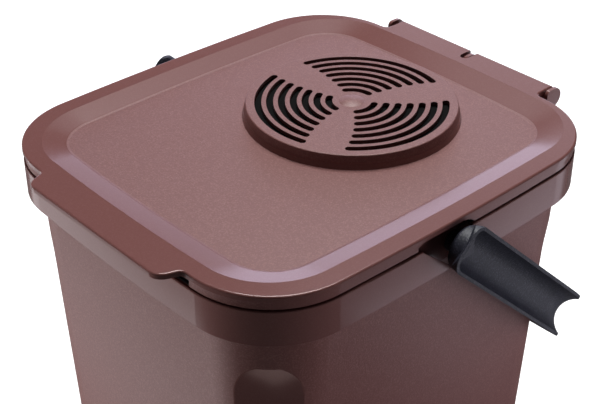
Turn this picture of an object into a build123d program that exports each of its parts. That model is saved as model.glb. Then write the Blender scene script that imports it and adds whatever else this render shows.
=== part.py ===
# Organic waste bin: a tapering tub with a hinged lid, a vent cap that turns on the lid
# over a charcoal pad, and a bail handle that swings over the top.
# The origin is on the floor under the middle of the bin. X runs to the right, Y towards
# the hinge and Z up. Lengths are in millimetres and angles in degrees.
from build123d import *
import os
from math import acos, asin, atan, atan2, cos, degrees, hypot, radians, sin

os.makedirs("parts", exist_ok=True)

# Clearances
pin_clearance = 0.05
seat_gap = 0.1
side_gap = 0.3
overrun = 2.0  # how far a cutting shape runs past what it cuts

# Plan of the lid's flange, with its corners before they are rounded
flange_half_width = 112.0
flange_front = 127.6
flange_rear = 121.4
flange_corner_radius = 49.8
bow_share = 0.031  # how far a side bulges, as a share of the half size

# Lid
lid_height = 270.0
flange_thickness = 3.0
flange_top_round = 1.1
flange_under_round = 0.8
tab_root_inset = 2.7  # from where the flange's corner begins
tab_side_slant = 5.3
tab_corner_radius = 8.0
root_fillet = 3.7
bevel_side_inset = 10.5  # from the flange's outline
bevel_front_inset = 9.5
bevel_rear_inset = 3.3
bevel_corner_radius = 41.0
panel_side_inset = 13.0  # from the bevel's outer edge
panel_front_inset = 14.5
panel_rear_inset = 17.0
panel_corner_radius = 25.0
panel_sink = 3.5
panel_thickness = 2.6
skirt_inset = 0.9
skirt_wall = 2.2
skirt_drop = 7.8  # from the flange's top to the skirt's lower edge
rib_wall = 1.9
skirt_cut_radius = 14.0
skirt_cut_front = 31.0
skirt_cut_rise = 2.3
skirt_cut_run = 7.3
skirt_tab_gap = 2.5  # from the tab's root to where the skirt begins at each side of it
skirt_tab_cut_depth = 9.0

# Hinge
flap_inset = 2.5  # from where the flange's corner begins
flap_notch_width = 5.7
flap_notch_depth = 8.6  # in front of the hinge's axis
barrel_radius = 3.1
hinge_set_back = 14.8  # behind the flange's rear side
hinge_axis_drop = 5.0  # below the flange's top
hinge_pin_radius = 1.75
hinge_pin_end = 1.5  # depth of the blind bore in the right lug
hinge_pin_chamfer = 0.2
lug_radius = 5.8
lug_thickness = 2.2
lug_side_gap = 1.8
lug_corner_radius = 3.0
lug_reach = 6.5  # in front of the hinge's axis
lug_gusset_drop = 14.0  # below the ledge
centre_lug_thickness = 2.4
centre_lug_radius = 4.2
centre_lug_reach = 6.2

# Seal
seal_thickness = 0.8
seal_inset = 2.0
seal_stem_width = 2.0
seal_stem_height = 3.3

# Tub
wall = 2.5
wall_inset_at_rim = 7.0
wall_inset_at_floor = 16.6
floor_thickness = 2.5
floor_round = 6.0
foot_width = 5.0
foot_height = 1.0
rim_inset = 0.1
rim_wall = 2.2
rim_ledge = 2.2
rim_height = 19.7
rim_notch_front = 29.0
rim_notch_radius = 11.4
rim_notch_overrun = 4.0  # length of the cut's front side past the ledge, through the seal

# Sunk face down each corner of the tub
corner_face_radius = 127.0
corner_face_sink = 2.6
corner_face_step = 0.3
corner_face_drop = 21.7  # below the rim band
corner_face_run = 20.0
corner_face_sweep = 60.0

# Vent cap and its pad
cap_rear_gap = 4.2  # from the sunk panel's rear edge
cap_top_rise = 4.3  # above the flange's top
cap_radius = 59.4
cap_flare = 2.1  # from the top edge's radius to the foot's
cap_foot_width = 3.2
cap_thickness = 2.2
cap_edge_round = 0.8
cap_dome_radius = 7.2
cap_dome_height = 1.3
slot_width = 4.0
slot_first_radius = 12.9
slot_last_inset = 6.9  # of the outermost ring of slots from the cap's top edge
slot_rings = 7
slot_sectors = 3
slot_first_half_angle = 40.3
slot_half_angle_gain = 7.8
slot_gain_power_share = 1.6
collar_gap = 1.9  # between the collar and the cap's wall
collar_wall = 1.6
collar_height = 4.2
catch_angle = 24.0
catch_height = 1.5
catch_reach = 1.4
pad_edge_round = 0.8
grille_rings = 3
grille_slot_width = 6.0
grille_first_radius = 16.0
grille_last_inset = 10.8  # of the outermost ring of the grille from the collar's inside
grille_half_angle = 48.0

# Handle
pivot_drop = 18.0  # below the flange's top
bail_stand_off = 14.0  # of the handle's outer face from the flange's half width
bail_straight_short = 15.6  # by which an arm's straight part is shorter than the flange's rear
bail_bend_radius = 67.1
bail_half_width = 13.3
bail_depth = 7.5
bail_wall = 2.2
bail_lip = 1.8
bail_end = 13.0
bail_end_radius = 8.0
bail_end_spread = 0.2  # of the end's rounding past the arm's edges, which it so crosses
bail_spoon = 20.0  # length over which the back of an arm's end runs out
bail_tip = 0.6  # thickness of the lip at the very end of an arm
bail_rest_gap = 0.7  # between the cross bar and the wall; the bends come nearer
hub_radius = 12.5
hub_round = 3.0
hub_sink = 0.8  # of the hub's outer end below the handle's outer face
neck_radius = 5.8
neck_round = 1.0
handle_pin_radius = 4.0
handle_pin_grip = 6.5
handle_pin_head_radius = 6.3
handle_pin_head = 2.0
handle_pin_round = 0.5
pivot_boss_radius = 6.8
pivot_boss_length = 3.0

# Levels and places that follow
flange_bottom = lid_height - flange_thickness
skirt_bottom = lid_height - skirt_drop
ledge_top = skirt_bottom - seal_thickness
rim_bottom = ledge_top - rim_height
corner_face_top = rim_bottom - corner_face_drop
panel_top = lid_height - panel_sink
panel_bottom = panel_top - panel_thickness
bevel_half_width = flange_half_width - bevel_side_inset
bevel_front = flange_front - bevel_front_inset
bevel_rear = flange_rear - bevel_rear_inset
panel_half_width = bevel_half_width - panel_side_inset
panel_front = bevel_front - panel_front_inset
panel_rear = bevel_rear - panel_rear_inset
hinge_axis_y = flange_rear + hinge_set_back
hinge_axis_z = lid_height - hinge_axis_drop
flap_half_width = flange_half_width - flange_corner_radius - flap_inset
tab_root_half_width = flange_half_width - flange_corner_radius - tab_root_inset
tab_half_width = tab_root_half_width - tab_side_slant
tab_front = hinge_axis_y + lug_radius  # the tab reaches as far forward as the lugs reach back
pivot_height = lid_height - pivot_drop
bail_outer_x = flange_half_width + bail_stand_off
bail_straight = flange_rear - bail_straight_short
rib_bottom = pivot_height + pivot_boss_radius + side_gap
rib_inset = wall_inset_at_rim + wall + side_gap
wall_taper = (wall_inset_at_floor - wall_inset_at_rim) / ledge_top
plan_middle = (flange_rear - flange_front) / 2
cap_foot_radius = cap_radius + cap_flare
cap_inner_radius = cap_foot_radius - cap_foot_width
cap_centre_y = panel_rear - cap_foot_radius - cap_rear_gap
cap_top = lid_height + cap_top_rise
cap_underside = cap_top - cap_thickness
collar_radius = cap_inner_radius - collar_gap
collar_inside = collar_radius - collar_wall
slot_pitch = (cap_radius - slot_last_inset - slot_first_radius) / (slot_rings - 1)
grille_pitch = (collar_inside - grille_last_inset - grille_first_radius) / (grille_rings - 1)


def bowed_plan(half_width, front, rear, corner_radius):
    # A four-sided outline with bowed sides and rounded corners
    middle = (rear - front) / 2
    bow_x = half_width * bow_share
    bow_y = (front + rear) / 2 * bow_share
    with BuildSketch() as outline:
        with BuildLine():
            ThreePointArc((-half_width, -front), (0, -front - bow_y), (half_width, -front))
            ThreePointArc((half_width, -front), (half_width + bow_x, middle), (half_width, rear))
            ThreePointArc((half_width, rear), (0, rear + bow_y), (-half_width, rear))
            ThreePointArc((-half_width, rear), (-half_width - bow_x, middle), (-half_width, -front))
        make_face()
        fillet(outline.vertices(), radius=corner_radius)
    return outline.sketch


def flange_plan(inset):
    # The flange's outline drawn in by an inset
    return bowed_plan(
        flange_half_width - inset,
        flange_front - inset,
        flange_rear - inset,
        flange_corner_radius - inset,
    )


def wall_inset(height):
    # Inset of the tub's outer wall at a height
    return wall_inset_at_floor - wall_taper * height


def side_x(inset):
    # X of the middle of a side that is drawn in by an inset
    return (flange_half_width - inset) * (1 + bow_share)


def rear_y(inset):
    # Y of the middle of the rear side, drawn in by an inset
    return plan_middle + ((flange_front + flange_rear) / 2 - inset) * (1 + bow_share)


def rim_rear_y(x):
    # Y of the middle of the rim band's rear wall, at a distance from the middle of the bin
    inset = rim_inset + rim_wall / 2
    bow = (rear_y(inset) - flange_rear + inset) * (x / (flange_half_width - inset)) ** 2
    return rear_y(inset) - bow


def front_y(inset):
    # Y of the middle of the front side, drawn in by an inset
    return plan_middle - ((flange_front + flange_rear) / 2 - inset) * (1 + bow_share)


def corner_point(height):
    # The outermost point of the tub's front right corner at a height, and the way it faces
    corner = (flange_half_width, -flange_front, 0)
    arc = flange_plan(wall_inset(height)).edges().sort_by_distance(corner)[0]
    point = arc @ 0.5
    return point, (point - arc.arc_center).normalized()


def tapered_body(extra_inset, bottom, top):
    # What the tub's wall encloses, or a face inside it, with a rounded lower edge
    with BuildPart() as body:
        with BuildSketch(Plane.XY.offset(bottom)):
            add(flange_plan(wall_inset(bottom) + extra_inset))
        with BuildSketch(Plane.XY.offset(top)):
            add(flange_plan(wall_inset(top) + extra_inset))
        loft(ruled=True)
        fillet(body.faces().sort_by(Axis.Z)[0].edges(), radius=floor_round - extra_inset)
    return body.part


def corner_cutter(extra_inset):
    # What lies outside the sunk face of each corner, or of a face inside it
    run_bottom = corner_face_top - corner_face_run
    point, facing = corner_point(run_bottom)
    centre = point - facing * (corner_face_sink + corner_face_radius)

    def radius_at(height, sink):
        return (corner_point(height)[0] - centre).length - sink - extra_inset

    top_radius = radius_at(corner_face_top, corner_face_step)
    run_radius = radius_at(run_bottom, corner_face_sink)
    foot_radius = radius_at(0, corner_face_sink)
    outside = top_radius + floor_round + extra_inset
    start = degrees(atan2(facing.Y, facing.X)) - corner_face_sweep / 2
    along = Vector(cos(radians(start)), sin(radians(start)), 0)
    with BuildPart() as cutter:
        with BuildSketch(Plane(origin=centre, x_dir=along, z_dir=along.cross(Vector(0, 0, 1)))):
            with BuildLine():
                face_line = Line((foot_radius, 0), (run_radius, run_bottom))
                TangentArc((run_radius, run_bottom), (top_radius, corner_face_top), tangent=face_line % 1)
                Polyline(
                    (top_radius, corner_face_top),
                    (outside, corner_face_top),
                    (outside, 0),
                    (foot_radius, 0),
                )
            make_face()
        revolve(axis=Axis(centre, (0, 0, 1)), revolution_arc=corner_face_sweep)
        mirror(about=Plane.YZ)
        mirror(about=Plane.XZ.offset(-plan_middle))
    return cutter.part


def tangent_point(point, centre, radius):
    # Where a line from a point touches a circle, on the circle's lower side
    reach = centre - point
    turn = atan2(reach.Y, reach.X) - asin(radius / reach.length)
    edge = (reach.length**2 - radius**2) ** 0.5
    return point + Vector(cos(turn), sin(turn)) * edge


def pivot_plane(side, x):
    # A plane at the handle's pivot that faces outwards, at a distance from the middle
    return Plane(origin=(side * x, 0, pivot_height), x_dir=(0, side, 0), z_dir=(side, 0, 0))


def cap_plane(height):
    return Plane(origin=(0, cap_centre_y, height))


def side_notch(inner_x):
    # The cut in the rim band at each side, outward of a plane, that the handle's hub turns in
    pivot = Vector(0, pivot_height)
    ledge_point = Vector(-rim_notch_front, ledge_top)
    touch = tangent_point(ledge_point, pivot, rim_notch_radius)
    above = ledge_point - (touch - ledge_point).normalized() * rim_notch_overrun
    rear_height = ledge_top - rim_ledge / 2
    rear_reach = (rim_notch_radius**2 - (rear_height - pivot_height) ** 2) ** 0.5
    with BuildPart() as notch:
        with BuildSketch(Plane.YZ.offset(inner_x)):
            with BuildLine():
                Polyline(
                    above,
                    touch,
                    pivot,
                    (rear_reach, rear_height),
                    (rear_reach, above.Y),
                    close=True,
                )
            make_face()
            with Locations(pivot):
                Circle(rim_notch_radius)
        extrude(amount=side_x(0) - inner_x + overrun)
        mirror(about=Plane.YZ)
    return notch.part


def catch_sectors(inner_radius, outer_radius):
    # Parts of a ring, one between each pair of slot sectors
    with BuildSketch() as catches:
        with BuildLine():
            outer_arc = CenterArc((0, 0), outer_radius, -catch_angle / 2, catch_angle)
            inner_arc = CenterArc((0, 0), inner_radius, -catch_angle / 2, catch_angle)
            Line(outer_arc @ 0, inner_arc @ 0)
            Line(outer_arc @ 1, inner_arc @ 1)
        catch = make_face()
        add(catch.rotate(Axis.Z, 180 / slot_sectors), mode=Mode.REPLACE)
        for sector in range(1, slot_sectors):
            add(catch.rotate(Axis.Z, 360 / slot_sectors * (sector + 1 / 2)))
    return catches.sketch


def lug_outline(root_y, reach, radius):
    # A hinge lug seen from the side, with its gusset down to the rim band
    front_y = hinge_axis_y - reach
    axis_point = Vector(hinge_axis_y, hinge_axis_z)
    gusset_foot = Vector(root_y, ledge_top - lug_gusset_drop)
    with BuildSketch() as outline:
        with BuildLine():
            Polyline(
                (hinge_axis_y, hinge_axis_z + radius),
                (front_y, hinge_axis_z + radius),
                (front_y, ledge_top),
                (root_y, ledge_top),
                gusset_foot,
                tangent_point(gusset_foot, axis_point, radius),
                axis_point,
                close=True,
            )
        make_face()
        corner = outline.vertices().sort_by_distance((front_y, hinge_axis_z + radius))[0]
        fillet(corner, radius=lug_corner_radius)
        with Locations(axis_point):
            Circle(radius)
    return outline.sketch


def arc_slots(count, first_radius, pitch, width, half_angles):
    # Rings of slots about the vent's centre, in equal sectors
    with BuildSketch() as slots:
        for ring in range(count):
            radius = first_radius + pitch * ring
            half_angle = half_angles[ring] - degrees(width / 2 / radius)
            for sector in range(slot_sectors):
                middle = 360 / slot_sectors * sector
                arc = CenterArc((0, 0), radius, middle - half_angle, 2 * half_angle, mode=Mode.PRIVATE)
                SlotArc(arc, width)
    return slots.sketch


# Bin body

wall_face_x = side_x(wall_inset(pivot_height))
notch_floor_x = wall_face_x + side_gap
boss_face_x = wall_face_x - wall - pivot_boss_length
outer_tub = tapered_body(0, 0, ledge_top)
inner_tub = tapered_body(wall, foot_height + floor_thickness, ledge_top + overrun)
outer_corners = corner_cutter(0)
inner_corners = corner_cutter(wall)
rim_notch = side_notch(notch_floor_x)
rim_plan = flange_plan(rim_inset)
rim_hollow_plan = flange_plan(rim_inset + rim_wall)
foot_plan = flange_plan(wall_inset_at_floor + floor_round + foot_width)
lug_x = flap_half_width + lug_side_gap
side_lug_root = rim_rear_y(lug_x + lug_thickness / 2)
side_lug = lug_outline(side_lug_root, lug_reach, lug_radius)
centre_lug = lug_outline(rim_rear_y(0), centre_lug_reach, centre_lug_radius)

with BuildPart() as tub_hollow:
    add(inner_tub)
    add(inner_corners, mode=Mode.SUBTRACT)

with BuildPart() as tub_wall:
    add(outer_tub)
    add(outer_corners, mode=Mode.SUBTRACT)

with BuildPart() as bin_body:
    # Rim band and its ledge
    with BuildSketch(Plane.XY.offset(rim_bottom)):
        add(rim_plan)
    extrude(amount=rim_height)
    with BuildSketch(Plane.XY.offset(rim_bottom)):
        add(rim_hollow_plan)
    extrude(amount=rim_height - rim_ledge, mode=Mode.SUBTRACT)
    fillet(bin_body.faces().sort_by(Axis.Z)[-1].outer_wire().edges(), radius=flange_under_round)
    add(rim_notch, mode=Mode.SUBTRACT)
    add(tub_wall.part)
    add(tub_hollow.part, mode=Mode.SUBTRACT)
    # Bosses round the handle's pins
    for side in (-1, 1):
        with BuildSketch(pivot_plane(side, boss_face_x)):
            Circle(pivot_boss_radius)
        extrude(amount=pivot_boss_length + wall / 2)
        with BuildSketch(pivot_plane(side, boss_face_x - overrun)):
            Circle(handle_pin_radius + pin_clearance)
        extrude(amount=pivot_boss_length + wall + side_gap + 2 * overrun, mode=Mode.SUBTRACT)
    # Sunk underside inside the foot
    with BuildSketch():
        add(foot_plan)
    extrude(amount=foot_height, mode=Mode.SUBTRACT)
    # Hinge lugs
    for lug_start in (lug_x, -lug_x - lug_thickness):
        with BuildSketch(Plane.YZ.offset(lug_start)):
            add(side_lug)
        extrude(amount=lug_thickness)
    with BuildSketch(Plane.YZ):
        add(centre_lug)
    extrude(amount=centre_lug_thickness / 2, both=True)
    with BuildSketch(Plane.YZ.offset(-lug_x - lug_thickness - overrun)):
        with Locations((hinge_axis_y, hinge_axis_z)):
            Circle(hinge_pin_radius + pin_clearance)
    extrude(amount=2 * lug_x + lug_thickness + overrun + hinge_pin_end, mode=Mode.SUBTRACT)

bin_body.part.label = "bin_body"
export_step(bin_body.part, "parts/bin_body.step")

# Lid

bevel_plan = bowed_plan(bevel_half_width, bevel_front, bevel_rear, bevel_corner_radius)
panel_plan = bowed_plan(panel_half_width, panel_front, panel_rear, panel_corner_radius)
flange_sketch = flange_plan(0)
skirt_plan = flange_plan(skirt_inset)
skirt_hollow_plan = flange_plan(skirt_inset + skirt_wall)
rib_plan = flange_plan(rib_inset)
rib_hollow_plan = flange_plan(rib_inset + rib_wall)
flap_rear = hinge_axis_y + barrel_radius
flap_notch_front = hinge_axis_y - flap_notch_depth
tab_gap_half_width = tab_root_half_width + skirt_tab_gap
collar_catches = catch_sectors(collar_radius - collar_wall / 2, collar_radius + catch_reach)
grille = arc_slots(
    grille_rings, grille_first_radius, grille_pitch, grille_slot_width, [grille_half_angle] * grille_rings
)

with BuildPart() as skirt:
    with BuildSketch(Plane.XY.offset(skirt_bottom)):
        add(skirt_plan)
        add(skirt_hollow_plan, mode=Mode.SUBTRACT)
    extrude(amount=skirt_drop - flange_thickness)
    # Open behind the tab
    with BuildSketch(Plane.XY.offset(skirt_bottom)):
        with Locations((0, front_y(0))):
            Rectangle(2 * tab_gap_half_width, 2 * skirt_tab_cut_depth)
    extrude(amount=skirt_drop - flange_thickness, mode=Mode.SUBTRACT)
    # Room over the handle's hubs
    with BuildSketch(Plane.YZ):
        with BuildLine():
            Polyline(
                (-skirt_cut_front, skirt_bottom - overrun),
                (-skirt_cut_front, skirt_bottom + skirt_cut_rise),
                (-skirt_cut_front + skirt_cut_run, flange_bottom),
                (0, flange_bottom),
                (0, skirt_bottom - overrun),
                close=True,
            )
        make_face()
        with Locations((0, pivot_height)):
            Circle(skirt_cut_radius)
    extrude(amount=side_x(0) + overrun, both=True, mode=Mode.SUBTRACT)

with BuildPart() as lid:
    # Flange with the tab in front and the hinge flap behind
    with BuildSketch(Plane.XY.offset(flange_bottom)) as flange:
        add(flange_sketch)
        with BuildLine():
            Polyline(
                (-tab_root_half_width, -flange_front),
                (-tab_half_width, -tab_front),
                (tab_half_width, -tab_front),
                (tab_root_half_width, -flange_front),
                close=True,
            )
        make_face()
        with Locations((0, flap_rear / 2)):
            Rectangle(2 * flap_half_width, flap_rear)
        corners = flange.vertices().group_by(Axis.Y)
        fillet(corners[1] + corners[-2], radius=root_fillet)
        fillet(flange.vertices().group_by(Axis.Y)[0], radius=tab_corner_radius)
    extrude(amount=flange_thickness)
    fillet(lid.faces().sort_by(Axis.Z)[-1].edges(), radius=flange_top_round)
    # Underside of the sunk panel
    with BuildSketch(Plane.XY.offset(flange_bottom)):
        add(bevel_plan)
    with BuildSketch(Plane.XY.offset(panel_bottom)):
        add(panel_plan)
    loft(ruled=True)
    # Skirt on the seal, and the rib that drops inside the tub
    add(skirt.part)
    with BuildSketch(Plane.XY.offset(rib_bottom)):
        add(rib_plan)
        add(rib_hollow_plan, mode=Mode.SUBTRACT)
    extrude(amount=flange_bottom - rib_bottom)
    # Sunk panel
    with BuildSketch(Plane.XY.offset(lid_height)):
        add(bevel_plan)
    with BuildSketch(Plane.XY.offset(panel_top)):
        add(panel_plan)
    loft(ruled=True, mode=Mode.SUBTRACT)
    # Grille under the pad, and the collar that the vent cap turns on
    with BuildSketch(cap_plane(panel_bottom - overrun)):
        add(grille)
    extrude(amount=panel_thickness + 2 * overrun, mode=Mode.SUBTRACT)
    with BuildSketch(cap_plane(panel_top)):
        Circle(collar_radius)
        Circle(collar_inside, mode=Mode.SUBTRACT)
    extrude(amount=collar_height)
    with BuildSketch(cap_plane(panel_top + collar_height)):
        add(collar_catches)
    extrude(amount=-catch_height)
    # Hinge barrels under the flap
    with BuildSketch(Plane.YZ):
        with Locations((hinge_axis_y, hinge_axis_z)):
            Circle(barrel_radius)
        with Locations((hinge_axis_y, (hinge_axis_z + flange_bottom) / 2)):
            Rectangle(2 * barrel_radius, flange_bottom - hinge_axis_z)
    extrude(amount=flap_half_width, both=True)
    with BuildSketch(Plane.XY.offset(lid_height + overrun)):
        with Locations((0, flap_notch_front + flap_notch_width / 2)):
            Circle(flap_notch_width / 2)
        with Locations((0, (flap_notch_front + flap_notch_width / 2 + flap_rear + overrun) / 2)):
            Rectangle(flap_notch_width, flap_rear + overrun - flap_notch_front - flap_notch_width / 2)
    extrude(amount=-hinge_axis_drop - barrel_radius - 2 * overrun, mode=Mode.SUBTRACT)
    with BuildSketch(Plane.YZ):
        with Locations((hinge_axis_y, hinge_axis_z)):
            Circle(hinge_pin_radius + pin_clearance)
    extrude(amount=flap_half_width + overrun, both=True, mode=Mode.SUBTRACT)

lid.part.label = "lid"
export_step(lid.part, "parts/lid.step")

# Hinge pin, pushed in from the left up to the blind bore in the right lug

with BuildPart() as hinge_pin:
    with BuildSketch(Plane.YZ.offset(-lug_x - lug_thickness + seat_gap)):
        with Locations((hinge_axis_y, hinge_axis_z)):
            Circle(hinge_pin_radius)
    extrude(amount=2 * lug_x + lug_thickness + hinge_pin_end - 2 * seat_gap)
    chamfer(hinge_pin.edges(), length=hinge_pin_chamfer)

hinge_pin.part.label = "hinge_pin"
export_step(hinge_pin.part, "parts/hinge_pin.step")

# Seal: a flat ring on the ledge with a stem that stands inside the skirt

seal_plan = flange_plan(seal_inset)
seal_hollow_plan = flange_plan(rib_inset - seat_gap)
stem_plan = flange_plan(skirt_inset + skirt_wall + seat_gap)
stem_hollow_plan = flange_plan(skirt_inset + skirt_wall + seat_gap + seal_stem_width)

with BuildPart() as lid_seal:
    with BuildSketch(Plane.XY.offset(ledge_top)):
        add(seal_plan)
        add(seal_hollow_plan, mode=Mode.SUBTRACT)
    extrude(amount=seal_thickness)
    with BuildSketch(Plane.XY.offset(skirt_bottom)):
        add(stem_plan)
        add(stem_hollow_plan, mode=Mode.SUBTRACT)
    extrude(amount=seal_stem_height)
    add(rim_notch, mode=Mode.SUBTRACT)

lid_seal.part.label = "lid_seal"
export_step(lid_seal.part, "parts/lid_seal.step")

# Vent cap

vent_slots = arc_slots(
    slot_rings,
    slot_first_radius,
    slot_pitch,
    slot_width,
    [
        slot_first_half_angle + slot_half_angle_gain * (ring / (slot_rings - 1)) ** slot_gain_power_share
        for ring in range(slot_rings)
    ],
)
catch_top = panel_top + collar_height - catch_height - seat_gap
cap_catches = catch_sectors(cap_inner_radius - catch_reach, cap_inner_radius + catch_reach / 2)

with BuildPart() as filter_cover:
    with BuildSketch(Plane.XZ.offset(-cap_centre_y)) as profile:
        with BuildLine():
            TangentArc(
                (0, cap_top + cap_dome_height), (cap_dome_radius, cap_top), tangent=(1, 0)
            )
            Polyline(
                (cap_dome_radius, cap_top),
                (cap_radius, cap_top),
                (cap_foot_radius, panel_top),
                (cap_inner_radius, panel_top),
                (cap_inner_radius, cap_underside),
                (0, cap_underside),
                (0, cap_top + cap_dome_height),
            )
        make_face()
        fillet(profile.vertices().sort_by_distance((cap_radius, cap_top))[0], radius=cap_edge_round)
    revolve(axis=Axis((0, cap_centre_y, 0), (0, 0, 1)))
    with BuildSketch(cap_plane(cap_underside - overrun)):
        add(vent_slots)
    extrude(amount=cap_thickness + 2 * overrun, mode=Mode.SUBTRACT)
    with BuildSketch(cap_plane(catch_top)):
        add(cap_catches)
    extrude(amount=-catch_height)

filter_cover.part.label = "filter_cover"
export_step(filter_cover.part, "parts/filter_cover.step")

# Charcoal pad under the vent cap

with BuildPart() as charcoal_filter:
    with BuildSketch(cap_plane(panel_top + side_gap)):
        Circle(collar_inside - side_gap)
    extrude(amount=cap_underside - panel_top - 2 * side_gap)
    fillet(charcoal_filter.edges().filter_by(GeomType.CIRCLE), radius=pad_edge_round)

charcoal_filter.part.label = "charcoal_filter"
export_step(charcoal_filter.part, "parts/charcoal_filter.step")

# Handle: at rest the round back of its cross bar lies on the tub's rear wall

neck_start_x = notch_floor_x + side_gap
hub_start_x = side_x(0) + side_gap
bail_reach = bail_straight + bail_bend_radius
bail_thickness = bail_depth + bail_wall
bail_back_radius = (bail_half_width**2 + bail_thickness**2) / (2 * bail_thickness)
wall_lean = wall_taper * (1 + bow_share)


def resting_angle(floor_face):
    # How far below level the handle hangs when it meets a wall, given the wall's Y at the floor
    centre_reach = bail_reach - bail_thickness + bail_back_radius
    slant = hypot(1, wall_lean)
    level = floor_face + wall_lean * pivot_height + (bail_back_radius + bail_rest_gap) * slant
    return degrees(atan(wall_lean) + acos(level / (centre_reach * slant)))


rear_angle = resting_angle(rear_y(wall_inset_at_floor))
front_angle = resting_angle(-front_y(wall_inset_at_floor))
print("handle swings through", round(180 + rear_angle + front_angle, 2), "degrees")

arm_along = Vector(0, cos(radians(rear_angle)), -sin(radians(rear_angle)))
arm_across = Vector(1, 0, 0).cross(arm_along)
bail_plane = Plane(origin=(0, 0, pivot_height), x_dir=(1, 0, 0), z_dir=arm_across)
arm_side_plane = Plane(origin=(0, 0, pivot_height), x_dir=arm_along, z_dir=(1, 0, 0))


def bail_path(end):
    # The line of the handle's outer edge, from one arm's end round to the other's
    inner_x = bail_outer_x - bail_bend_radius
    with BuildLine(bail_plane) as path:
        Line((bail_outer_x, -end), (bail_outer_x, bail_straight))
        CenterArc((inner_x, bail_straight), bail_bend_radius, 0, 90)
        Line((inner_x, bail_reach), (-inner_x, bail_reach))
        CenterArc((-inner_x, bail_straight), bail_bend_radius, 90, 90)
        Line((-bail_outer_x, bail_straight), (-bail_outer_x, -end))
    return path.wire()


def bail_section(end, half_width, depth, rise):
    # The arm's section at its end: an arc with its flat side outwards, which a cut runs past
    arm_end = bail_plane.from_local_coords((bail_outer_x, -end, 0))
    with BuildSketch(Plane(origin=arm_end, x_dir=(1, 0, 0), z_dir=arm_along)) as section:
        with BuildLine():
            ThreePointArc((0, -half_width), (-depth, 0), (0, half_width))
            Line((0, half_width), (0, -half_width))
        make_face()
        if rise:
            with Locations((rise / 2, 0)):
                Rectangle(rise, 2 * half_width)
    return section.sketch


def end_cutter(end, half_width, radius):
    # What rounds the corners of both arms' ends
    with BuildPart() as cutter:
        with BuildSketch(arm_side_plane):
            with Locations((-end - overrun + (radius + overrun) / 2, 0)):
                Rectangle(radius + overrun, 2 * (half_width + overrun))
            with Locations((-end + bail_straight / 2, 0)):
                width = 2 * (half_width + bail_end_spread)
                RectangleRounded(bail_straight, width, radius, mode=Mode.SUBTRACT)
        extrude(amount=bail_outer_x + overrun, both=True)
    return cutter.part


def spoon_cutter(end, half_width, depth, rise):
    # What runs out the back of both arms' ends, from their full depth to near the outer face
    deep_x = bail_outer_x - depth
    tip_x = bail_outer_x + rise
    with BuildPart() as cutter:
        with BuildSketch(bail_plane):
            with BuildLine():
                TangentArc((deep_x, bail_spoon - end), (tip_x, -end), tangent=(0, -1))
                Polyline(
                    (tip_x, -end),
                    (tip_x, -end - overrun),
                    (deep_x - overrun, -end - overrun),
                    (deep_x - overrun, bail_spoon - end),
                    (deep_x, bail_spoon - end),
                )
            make_face()
        extrude(amount=half_width + overrun, both=True)
        mirror(about=Plane.YZ)
    return cutter.part


def hub_piece(radius, start_x, end_x, round_radius):
    # A round piece about the pivot at the right side, with its inner edge rounded
    with BuildPart() as piece:
        with BuildSketch(pivot_plane(1, start_x)):
            Circle(radius)
        extrude(amount=end_x - start_x)
        fillet(piece.edges().group_by(Axis.X)[0], radius=round_radius)
    return piece.part


trough_end = bail_end - bail_wall
trough_half_width = bail_half_width - bail_lip
outer_path = bail_path(bail_end)
trough_path = bail_path(trough_end)
outer_section = bail_section(bail_end, bail_half_width, bail_thickness, 0)
trough_section = bail_section(trough_end, trough_half_width, bail_depth, overrun)
outer_ends = end_cutter(bail_end, bail_half_width, bail_end_radius)
trough_ends = end_cutter(trough_end, trough_half_width, bail_end_radius - bail_lip)
outer_spoons = spoon_cutter(bail_end, bail_half_width, bail_thickness, -bail_tip)
trough_spoons = spoon_cutter(trough_end, trough_half_width, bail_depth, bail_tip)

with BuildPart() as trough:
    sweep(sections=trough_section, path=trough_path)
    add(trough_ends, mode=Mode.SUBTRACT)
    add(trough_spoons, mode=Mode.SUBTRACT)

# Hubs outside the rim band, and necks that reach in through its notches to the pins
with BuildPart() as hubs:
    add(hub_piece(hub_radius, hub_start_x, bail_outer_x - hub_sink, hub_round))
    add(hub_piece(neck_radius, neck_start_x, hub_start_x + neck_round, neck_round))
    mirror(about=Plane.YZ)

with BuildPart() as handle:
    sweep(sections=outer_section, path=outer_path)
    add(outer_ends, mode=Mode.SUBTRACT)
    add(outer_spoons, mode=Mode.SUBTRACT)
    add(hubs.part)
    add(trough.part, mode=Mode.SUBTRACT)
    for side in (-1, 1):
        with BuildSketch(pivot_plane(side, neck_start_x)):
            Circle(handle_pin_radius + pin_clearance)
        extrude(amount=handle_pin_grip, mode=Mode.SUBTRACT)

handle.part.label = "handle"
export_step(handle.part, "parts/handle.step")

# Headed pins, pushed out from inside the tub and pressed into the hubs

with BuildPart() as handle_pin_right:
    with BuildSketch(pivot_plane(1, boss_face_x - seat_gap)):
        Circle(handle_pin_radius)
    extrude(amount=neck_start_x + handle_pin_grip - boss_face_x)
    with BuildSketch(pivot_plane(1, boss_face_x - seat_gap)):
        Circle(handle_pin_head_radius)
    extrude(amount=-handle_pin_head)
    fillet(handle_pin_right.edges().group_by(Axis.X)[0], radius=handle_pin_round)
    chamfer(handle_pin_right.edges().group_by(Axis.X)[-1], length=handle_pin_round)

with BuildPart() as handle_pin_left:
    mirror(handle_pin_right.part, about=Plane.YZ)

for side, pin in (("left", handle_pin_left), ("right", handle_pin_right)):
    pin.part.label = f"handle_pin_{side}"
    export_step(pin.part, f"parts/handle_pin_{side}.step")
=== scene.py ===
import math

import bmesh
import bpy
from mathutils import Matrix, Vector, noise


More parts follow.
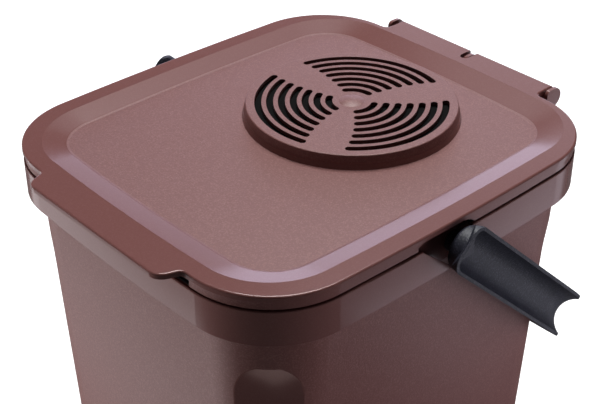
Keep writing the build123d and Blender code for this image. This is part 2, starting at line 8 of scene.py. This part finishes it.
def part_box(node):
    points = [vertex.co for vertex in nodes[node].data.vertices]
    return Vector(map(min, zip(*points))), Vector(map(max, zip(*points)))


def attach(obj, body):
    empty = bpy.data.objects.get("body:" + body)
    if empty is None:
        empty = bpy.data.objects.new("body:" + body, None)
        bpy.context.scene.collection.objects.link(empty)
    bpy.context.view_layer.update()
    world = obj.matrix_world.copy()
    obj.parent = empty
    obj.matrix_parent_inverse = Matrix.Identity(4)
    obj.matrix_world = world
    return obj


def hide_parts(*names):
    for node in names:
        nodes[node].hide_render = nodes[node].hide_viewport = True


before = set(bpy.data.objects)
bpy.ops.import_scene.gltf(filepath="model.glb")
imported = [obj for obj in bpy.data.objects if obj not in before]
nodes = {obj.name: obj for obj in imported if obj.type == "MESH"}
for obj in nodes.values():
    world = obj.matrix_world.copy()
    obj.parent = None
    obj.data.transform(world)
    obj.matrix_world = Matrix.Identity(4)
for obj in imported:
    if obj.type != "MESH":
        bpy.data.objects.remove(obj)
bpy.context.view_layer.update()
print("frame loaded with", len(nodes), "CAD nodes")

scene = bpy.context.scene
scene.view_settings.view_transform = "Standard"


def makeSocket(tree, name, kind, direction, value=None):
    socket = tree.interface.new_socket(name, in_out=direction, socket_type=kind)
    if value is not None:
        socket.default_value = value
    return socket


def addNode(tree, kind, place, **settings):
    node = tree.nodes.new(kind)
    node.location = place
    for name, value in settings.items():
        setattr(node, name, value)
    return node


def addMath(tree, operation, place, first, second=None):
    node = addNode(tree, "ShaderNodeMath", place, operation=operation)
    for socket, value in zip(node.inputs, (first, second)):
        if isinstance(value, (int, float)):
            socket.default_value = value
        elif value is not None:
            tree.links.new(value, socket)
    return node.outputs["Value"]


def mixColours(tree, place, amount, first, second):
    node = addNode(tree, "ShaderNodeMix", place, data_type="RGBA")
    for socket, value in zip((node.inputs[0], node.inputs[6], node.inputs[7]), (amount, first, second)):
        if isinstance(value, bpy.types.NodeSocket):
            tree.links.new(value, socket)
        else:
            socket.default_value = value
    return node.outputs[2]


def mapRange(tree, place, value, fromLow, fromHigh, toLow=0.0, toHigh=1.0):
    node = addNode(tree, "ShaderNodeMapRange", place)
    tree.links.new(value, node.inputs["Value"])
    node.inputs["From Min"].default_value = fromLow
    node.inputs["From Max"].default_value = fromHigh
    node.inputs["To Min"].default_value = toLow
    node.inputs["To Max"].default_value = toHigh
    return node.outputs["Result"]


mouldGrain = {"detail": 2.0, "roughness": 0.6, "speckleFineness": 1.7}


# Moulded grain: a fine pebble for the bump, and the speckle it gives the colour.
def makeGrainGroup():
    tree = bpy.data.node_groups.new("mouldGrain", "ShaderNodeTree")
    makeSocket(tree, "Grain Size", "NodeSocketFloat", "INPUT")
    makeSocket(tree, "Mask", "NodeSocketFloat", "INPUT", 1.0)
    makeSocket(tree, "Height", "NodeSocketFloat", "OUTPUT")
    makeSocket(tree, "Speckle", "NodeSocketFloat", "OUTPUT")
    source = addNode(tree, "NodeGroupInput", (-900, 0))
    result = addNode(tree, "NodeGroupOutput", (500, 0))
    where = addNode(tree, "ShaderNodeTexCoord", (-900, -200))
    pebble = addNode(tree, "ShaderNodeTexNoise", (-600, 100), noise_dimensions="3D")
    pebble.inputs["Detail"].default_value = mouldGrain["detail"]
    pebble.inputs["Roughness"].default_value = mouldGrain["roughness"]
    tree.links.new(where.outputs["Object"], pebble.inputs["Vector"])
    tree.links.new(source.outputs["Grain Size"], pebble.inputs["Scale"])
    cells = addNode(tree, "ShaderNodeTexVoronoi", (-600, -200), feature="F1")
    tree.links.new(where.outputs["Object"], cells.inputs["Vector"])
    fineness = addMath(tree, "MULTIPLY", (-750, -250), source.outputs["Grain Size"],
                       mouldGrain["speckleFineness"])
    tree.links.new(fineness, cells.inputs["Scale"])
    grey = addNode(tree, "ShaderNodeSeparateColor", (-400, -200))
    tree.links.new(cells.outputs["Color"], grey.inputs["Color"])
    height = addMath(tree, "MULTIPLY", (100, 100), pebble.outputs["Fac"], source.outputs["Mask"])
    tree.links.new(height, result.inputs["Height"])
    tree.links.new(grey.outputs["Red"], result.inputs["Speckle"])
    return tree


grainGroup = makeGrainGroup()


def startMaterial(name):
    material = bpy.data.materials.new(name)
    material.use_nodes = True
    tree = material.node_tree
    shader = tree.nodes["Principled BSDF"]
    shader.location = (600, 0)
    tree.nodes["Material Output"].location = (900, 0)
    return material, tree, shader


def addGrain(tree, grainSize, mask=None):
    grain = addNode(tree, "ShaderNodeGroup", (-300, -300), node_tree=grainGroup)
    grain.inputs["Grain Size"].default_value = grainSize
    if mask is not None:
        tree.links.new(mask, grain.inputs["Mask"])
    return grain


def addBump(tree, shader, height, distance):
    bump = addNode(tree, "ShaderNodeBump", (300, -350))
    bump.inputs["Distance"].default_value = distance
    tree.links.new(height, bump.inputs["Height"])
    tree.links.new(bump.outputs["Normal"], shader.inputs["Normal"])


binPlastic = {
    "colour": (0.195, 0.078, 0.071, 1.0),
    "fleckColour": (0.33, 0.165, 0.155, 1.0),
    "fleckShare": 0.45,
    "fleckOnSmooth": 0.12,
    "fleckOnGrain": 0.45,
    "metallic": 0.05,
    "smoothRoughness": 0.2,
    "grainedRoughness": 0.45,
    "grainSize": 1000.0,
    "grainDepth": 0.00012,
}


# grained(tree, coordinates) gives the mask of the parts of the piece with a grained face.
def makeBinPlastic(name, grained):
    material, tree, shader = startMaterial(name)
    where = addNode(tree, "ShaderNodeTexCoord", (-1200, 0))
    parts = addNode(tree, "ShaderNodeSeparateXYZ", (-1000, 0))
    tree.links.new(where.outputs["Object"], parts.inputs["Vector"])
    mask = grained(tree, parts)
    grain = addGrain(tree, binPlastic["grainSize"], mask)
    fleck = mapRange(tree, (-100, 200), grain.outputs["Speckle"], 1.0 - binPlastic["fleckShare"], 1.0)
    strength = mapRange(tree, (-100, 400), mask, 0.0, 1.0,
                        binPlastic["fleckOnSmooth"], binPlastic["fleckOnGrain"])
    amount = addMath(tree, "MULTIPLY", (50, 300), fleck, strength)
    colour = mixColours(tree, (150, 200), amount, binPlastic["colour"], binPlastic["fleckColour"])
    tree.links.new(colour, shader.inputs["Base Color"])
    roughness = mapRange(tree, (150, -100), mask, 0.0, 1.0,
                         binPlastic["smoothRoughness"], binPlastic["grainedRoughness"])
    tree.links.new(roughness, shader.inputs["Roughness"])
    shader.inputs["Metallic"].default_value = binPlastic["metallic"]
    addBump(tree, shader, grain.outputs["Height"], binPlastic["grainDepth"])
    return material


# The lid is grained on its sunk panel alone.
lidPanel = {"level": 0.26665, "levelFade": 0.00025, "halfWidth": 0.1, "sideFade": 0.001}


def lidGrain(tree, parts):
    low = mapRange(tree, (-750, 100), parts.outputs["Z"], lidPanel["level"],
                   lidPanel["level"] + lidPanel["levelFade"], 1.0, 0.0)
    across = addMath(tree, "ABSOLUTE", (-850, -50), parts.outputs["X"])
    inside = mapRange(tree, (-750, -100), across, lidPanel["halfWidth"],
                      lidPanel["halfWidth"] + lidPanel["sideFade"], 1.0, 0.0)
    return addMath(tree, "MULTIPLY", (-550, 0), low, inside)


# The sunk face down each corner of the tub is a smooth cone about an upright axis.
cornerFace = {
    "middle": -0.0031,
    "centre": (0.0008, 0.0141),
    "footRadius": 0.1192,
    "lean": 0.0389,
    "runBottom": 0.2,
    "runTop": 0.22,
    "runOut": 0.0023,
    "runPower": 2.0,
    "edge": -0.0001,
    "fade": 0.0002,
}


def cornerFaceMask(tree, parts):
    height = parts.outputs["Z"]
    # All four corners fold onto one, and the reach is from that corner's own axis.
    fromMiddle = addMath(tree, "SUBTRACT", (-1050, 450), parts.outputs["Y"], cornerFace["middle"])
    across = addMath(tree, "ABSOLUTE", (-850, 600), parts.outputs["X"])
    along = addMath(tree, "ABSOLUTE", (-850, 450), fromMiddle)
    x = addMath(tree, "SUBTRACT", (-650, 600), across, cornerFace["centre"][0])
    y = addMath(tree, "SUBTRACT", (-650, 450), along, cornerFace["centre"][1])
    xSquare = addMath(tree, "MULTIPLY", (-450, 600), x, x)
    ySquare = addMath(tree, "MULTIPLY", (-450, 450), y, y)
    squares = addMath(tree, "ADD", (-250, 550), xSquare, ySquare)
    reach = addMath(tree, "SQRT", (-50, 550), squares)
    # The cone leans out with height, and its face runs out under the rim band.
    leaning = addMath(tree, "MULTIPLY", (-450, 1050), height, cornerFace["lean"])
    cone = addMath(tree, "ADD", (-250, 1050), leaning, cornerFace["footRadius"])
    rise = mapRange(tree, (-650, 850), height, cornerFace["runBottom"], cornerFace["runTop"])
    curve = addMath(tree, "POWER", (-450, 850), rise, cornerFace["runPower"])
    runOut = addMath(tree, "MULTIPLY", (-250, 850), curve, cornerFace["runOut"])
    surface = addMath(tree, "ADD", (-50, 900), cone, runOut)
    past = addMath(tree, "SUBTRACT", (150, 700), reach, surface)
    onFace = mapRange(tree, (350, 700), past, cornerFace["edge"] - cornerFace["fade"], cornerFace["edge"])
    under = mapRange(tree, (350, 450), height, cornerFace["runTop"],
                     cornerFace["runTop"] + cornerFace["fade"], 1.0, 0.0)
    return addMath(tree, "MULTIPLY", (550, 600), onFace, under)


# The tub's walls are grained under the smooth rim band.
rimBand = {"level": 0.2412, "fade": 0.0004}


def tubGrain(tree, parts):
    under = mapRange(tree, (-750, 100), parts.outputs["Z"], rimBand["level"],
                     rimBand["level"] + rimBand["fade"], 1.0, 0.0)
    return addMath(tree, "SUBTRACT", (-550, 100), under, cornerFaceMask(tree, parts))


# The vent cap is grained on top, and smooth down its side.
ventCap = {"level": 0.2695, "fade": 0.001}


def capGrain(tree, parts):
    return mapRange(tree, (-750, 100), parts.outputs["Z"], ventCap["level"],
                    ventCap["level"] + ventCap["fade"])


handlePlastic = {
    "colour": (0.016, 0.017, 0.028, 1.0),
    "speckleColour": (0.055, 0.055, 0.08, 1.0),
    "speckleShare": 0.3,
    "roughness": 0.5,
    "grainSize": 900.0,
    "grainDepth": 0.0002,
}


def makeHandlePlastic():
    material, tree, shader = startMaterial("handlePlastic")
    grain = addGrain(tree, handlePlastic["grainSize"])
    speckle = mapRange(tree, (-100, 200), grain.outputs["Speckle"],
                       1.0 - handlePlastic["speckleShare"], 1.0)
    colour = mixColours(tree, (150, 200), speckle, handlePlastic["colour"], handlePlastic["speckleColour"])
    tree.links.new(colour, shader.inputs["Base Color"])
    shader.inputs["Roughness"].default_value = handlePlastic["roughness"]
    addBump(tree, shader, grain.outputs["Height"], handlePlastic["grainDepth"])
    return material


sealRubber = {"colour": (0.010, 0.009, 0.010, 1.0), "roughness": 0.7}


def makeSealRubber():
    material, tree, shader = startMaterial("sealRubber")
    shader.inputs["Base Color"].default_value = sealRubber["colour"]
    shader.inputs["Roughness"].default_value = sealRubber["roughness"]
    return material


pinSteel = {
    "colour": (0.55, 0.55, 0.56, 1.0),
    "metallic": 1.0,
    "smoothest": 0.22,
    "roughest": 0.42,
    "drawnLines": 1500.0,
    "lineStretch": 0.02,
    "lineContrast": (0.3, 0.7),
}


def makePinSteel():
    material, tree, shader = startMaterial("pinSteel")
    where = addNode(tree, "ShaderNodeTexCoord", (-900, 0))
    stretch = addNode(tree, "ShaderNodeMapping", (-700, 0))
    stretch.inputs["Scale"].default_value = (pinSteel["lineStretch"], 1.0, 1.0)
    lines = addNode(tree, "ShaderNodeTexNoise", (-500, 0))
    lines.inputs["Scale"].default_value = pinSteel["drawnLines"]
    tree.links.new(where.outputs["Object"], stretch.inputs["Vector"])
    tree.links.new(stretch.outputs["Vector"], lines.inputs["Vector"])
    roughness = mapRange(tree, (-200, 0), lines.outputs["Fac"], *pinSteel["lineContrast"],
                         pinSteel["smoothest"], pinSteel["roughest"])
    tree.links.new(roughness, shader.inputs["Roughness"])
    shader.inputs["Base Color"].default_value = pinSteel["colour"]
    shader.inputs["Metallic"].default_value = pinSteel["metallic"]
    return material


charcoalFleece = {
    "colour": (0.002, 0.002, 0.002, 1.0),
    "fibreColour": (0.006, 0.006, 0.006, 1.0),
    "fibreSize": 700.0,
    "fibreDepth": 0.0003,
    "roughness": 1.0,
    "gloss": 0.15,
}


def makeCharcoalFleece():
    material, tree, shader = startMaterial("charcoalFleece")
    grain = addGrain(tree, charcoalFleece["fibreSize"])
    colour = mixColours(tree, (150, 200), grain.outputs["Height"],
                        charcoalFleece["colour"], charcoalFleece["fibreColour"])
    tree.links.new(colour, shader.inputs["Base Color"])
    shader.inputs["Roughness"].default_value = charcoalFleece["roughness"]
    shader.inputs["Specular IOR Level"].default_value = charcoalFleece["gloss"]
    addBump(tree, shader, grain.outputs["Height"], charcoalFleece["fibreDepth"])
    return material


def dress(name, material):
    mesh = nodes[name].data
    mesh.materials.clear()
    mesh.materials.append(material)


dress("lid", makeBinPlastic("lidPlastic", lidGrain))
dress("bin_body", makeBinPlastic("tubPlastic", tubGrain))
dress("filter_cover", makeBinPlastic("capPlastic", capGrain))
handleMaterial = makeHandlePlastic()
for name in ("handle", "handle_pin_left", "handle_pin_right"):
    dress(name, handleMaterial)
dress("lid_seal", makeSealRubber())
dress("hinge_pin", makePinSteel())
print("materials made")

charcoalPad = {
    "inset": 0.0001,  # inside the CAD disc all round
    "segments": 96,
    "rings": 20,
    "edgeRound": 0.0014,
    "edgeSteps": 6,
    "lumpDepth": 0.0004,
    "lumpSize": 90.0,
    "lumpFade": 4,
    "fill": 0.8,
}


# The lumps press into the two flat faces, and fade out towards the rounded edge.
def pressLumps(bm, half, flatRadius):
    for vertex in bm.verts:
        side = math.copysign(1.0, vertex.co.z)
        reach = vertex.co.xy.length
        if abs(vertex.co.z) < half - charcoalPad["inset"] / 2 or reach > flatRadius:
            continue
        spot = Vector((vertex.co.x, vertex.co.y, side))
        lump = (noise.noise(spot * charcoalPad["lumpSize"]) + 1.0) / 2
        fade = 1.0 - (reach / flatRadius) ** charcoalPad["lumpFade"]
        vertex.co.z -= side * charcoalPad["lumpDepth"] * fade * lump


def makeCharcoalPad():
    low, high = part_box("charcoal_filter")
    radius = (high.x - low.x) / 2 - charcoalPad["inset"]
    half = (high.z - low.z) / 2 - charcoalPad["inset"]
    flatRadius = radius - charcoalPad["edgeRound"]
    bm = bmesh.new()
    bmesh.ops.create_circle(bm, cap_ends=True, radius=radius, segments=charcoalPad["segments"])
    bmesh.ops.translate(bm, verts=bm.verts, vec=(0.0, 0.0, -half))
    disc = bmesh.ops.extrude_face_region(bm, geom=bm.faces[:], use_keep_orig=True)
    raised = [part for part in disc["geom"] if isinstance(part, bmesh.types.BMVert)]
    bmesh.ops.translate(bm, verts=raised, vec=(0.0, 0.0, 2 * half))
    bmesh.ops.recalc_face_normals(bm, faces=bm.faces)
    rims = [edge for edge in bm.edges if edge.verts[0].co.z * edge.verts[1].co.z > 0]
    bmesh.ops.bevel(bm, geom=rims, offset=charcoalPad["edgeRound"], segments=charcoalPad["edgeSteps"],
                    profile=0.5, affect="EDGES", material=-1)
    for face in [face for face in bm.faces if len(face.verts) == charcoalPad["segments"]]:
        for ring in range(charcoalPad["rings"]):
            bmesh.ops.inset_individual(bm, faces=[face], thickness=flatRadius / (charcoalPad["rings"] + 1))
        bmesh.ops.poke(bm, faces=[face])
    pressLumps(bm, half, flatRadius)
    bmesh.ops.translate(bm, verts=bm.verts, vec=(low + high) / 2)
    for face in bm.faces:
        face.smooth = True
    mesh = bpy.data.meshes.new("charcoal_pad")
    bm.to_mesh(mesh)
    bm.free()
    pad = bpy.data.objects.new("charcoal_pad", mesh)
    scene.collection.objects.link(pad)
    mesh.materials.append(makeCharcoalFleece())
    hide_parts("charcoal_filter")
    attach(pad, "lid")


makeCharcoalPad()
print("charcoal pad made")

studioFloor = {
    "size": 6.0,
    "height": -0.0005,
    "roughness": 0.9,
    "colour": (0.12, 0.12, 0.12, 1.0),
    "seenColour": (0.6, 0.6, 0.6, 1.0),
    "glowColour": (1.0, 1.0, 1.0, 1.0),
    "nearGlow": 0.75,
    "farGlow": 1.0,
    "nearEdge": 0.5,
    "farEdge": 1.6,
}


def makeFloor():
    bpy.ops.mesh.primitive_plane_add(size=studioFloor["size"], location=(0.0, 0.0, studioFloor["height"]))
    floor = bpy.context.object
    floor.name = "studio_floor"
    material = bpy.data.materials.new("studioFloor")
    material.use_nodes = True
    tree = material.node_tree
    shader = tree.nodes["Principled BSDF"]
    # White where it is lit, and grey in the shadow of the bin.
    path = addNode(tree, "ShaderNodeLightPath", (-600, 0))
    seen = path.outputs["Is Camera Ray"]
    tree.links.new(mixColours(tree, (-300, 100), seen, studioFloor["colour"], studioFloor["seenColour"]),
                   shader.inputs["Base Color"])
    where = addNode(tree, "ShaderNodeTexCoord", (-1000, -300))
    away = addNode(tree, "ShaderNodeVectorMath", (-800, -300), operation="LENGTH")
    tree.links.new(where.outputs["Object"], away.inputs[0])
    glow = mapRange(tree, (-600, -300), away.outputs["Value"],
                    studioFloor["nearEdge"], studioFloor["farEdge"],
                    studioFloor["nearGlow"], studioFloor["farGlow"])
    tree.links.new(addMath(tree, "MULTIPLY", (-300, -200), seen, glow), shader.inputs["Emission Strength"])
    shader.inputs["Emission Color"].default_value = studioFloor["glowColour"]
    shader.inputs["Roughness"].default_value = studioFloor["roughness"]
    floor.data.materials.append(material)


makeFloor()

studioWorld = {"colour": (1.0, 1.0, 1.0, 1.0), "seen": 1.0, "reflected": 0.04, "fill": 0.02}


def makeWorld():
    world = bpy.data.worlds.new("studioWorld")
    scene.world = world
    world.use_nodes = True
    tree = world.node_tree
    back = tree.nodes["Background"]
    back.inputs["Color"].default_value = studioWorld["colour"]
    path = addNode(tree, "ShaderNodeLightPath", (-600, 0))
    glossy = addMath(tree, "MULTIPLY", (-400, -100), path.outputs["Is Glossy Ray"],
                     studioWorld["reflected"] - studioWorld["fill"])
    seen = addMath(tree, "MULTIPLY", (-400, 100), path.outputs["Is Camera Ray"],
                   studioWorld["seen"] - studioWorld["fill"])
    total = addMath(tree, "ADD", (-200, 0), glossy, seen)
    tree.links.new(addMath(tree, "ADD", (-100, 0), total, studioWorld["fill"]), back.inputs["Strength"])


makeWorld()

# The boxes and boards light the bin, and the floor patches are what its walls and rim mirror.
studioLights = [
    {"name": "leftBox", "place": (-1.15, -1.05, 0.14), "aim": (0.0, 0.0, 0.14),
     "size": (0.9, 0.26), "power": 18.0, "colour": (1.0, 1.0, 1.0), "mirrored": False},
    {"name": "rightBox", "place": (0.6, 0.4, 0.05), "aim": (0.1, 0.05, 0.2),
     "size": (0.9, 0.1), "power": 2.5, "colour": (1.0, 0.98, 1.05), "mirrored": False},
    {"name": "leftFloor", "place": (-0.5, -0.25, 0.01), "aim": (-0.5, -0.25, 1.0),
     "size": (1.0, 0.18), "power": 0.75, "colour": (1.0, 1.0, 1.03), "mirrored": True},
    {"name": "rightFloor", "place": (0.275, 0.42, 0.01), "aim": (0.275, 0.42, 1.0),
     "size": (0.13, 0.6), "power": 0.27, "colour": (0.97, 0.95, 1.08), "mirrored": True},
    {"name": "frontFloor", "place": (0.15, -0.166, 0.01), "aim": (0.15, -0.166, 1.0),
     "size": (0.075, 0.075), "power": 0.013, "colour": (1.0, 0.8, 0.76), "mirrored": True},
    {"name": "topBox", "place": (-0.3, 0.35, 1.6), "aim": (0.0, 0.0, 0.25),
     "size": (0.7, 0.7), "power": 23.0, "colour": (1.0, 1.0, 1.0), "mirrored": True},
    {"name": "highBoard", "place": (-0.54, 0.75, 1.3), "aim": (0.0, 0.0, 0.27),
     "size": (0.5, 0.5), "power": 0.7, "colour": (1.0, 1.0, 1.08), "mirrored": True},
    {"name": "rearBoard", "place": (-0.75, 1.2, 0.95), "aim": (0.0, 0.0, 0.27),
     "size": (0.6, 0.45), "power": 0.7, "colour": (1.0, 0.97, 1.12), "mirrored": True},
    {"name": "backBand", "place": (-1.35, 1.3, 0.6), "aim": (0.0, 0.0, 0.27),
     "size": (2.4, 0.4), "power": 7.0, "colour": (0.95, 0.93, 1.22), "mirrored": True},
]


def makeLights():
    for setup in studioLights:
        light = bpy.data.lights.new(setup["name"], "AREA")
        light.shape = "RECTANGLE"
        light.size, light.size_y = setup["size"]
        light.energy = setup["power"]
        light.color = setup["colour"]
        lamp = bpy.data.objects.new(setup["name"], light)
        lamp.location = setup["place"]
        lamp.visible_camera = False
        lamp.visible_glossy = setup["mirrored"]
        lamp.rotation_mode = "QUATERNION"
        lamp.rotation_quaternion = (Vector(setup["aim"]) - lamp.location).to_track_quat("-Z", "Y")
        scene.collection.objects.link(lamp)


makeLights()
print("studio made")

photoCamera = {
    "place": (0.4509, -0.4141, 0.6205),
    "turn": (56.96, 0.0, 47.69),  # degrees
    "lens": 77.57,
    "sensor": 36.0,
    "nearest": 0.01,
}


def makeCamera():
    camera = bpy.data.cameras.new("photoCamera")
    camera.lens = photoCamera["lens"]
    camera.sensor_width = photoCamera["sensor"]
    camera.clip_start = photoCamera["nearest"]
    holder = bpy.data.objects.new("photoCamera", camera)
    holder.location = photoCamera["place"]
    holder.rotation_euler = [math.radians(a) for a in photoCamera["turn"]]
    scene.collection.objects.link(holder)
    scene.camera = holder


makeCamera()
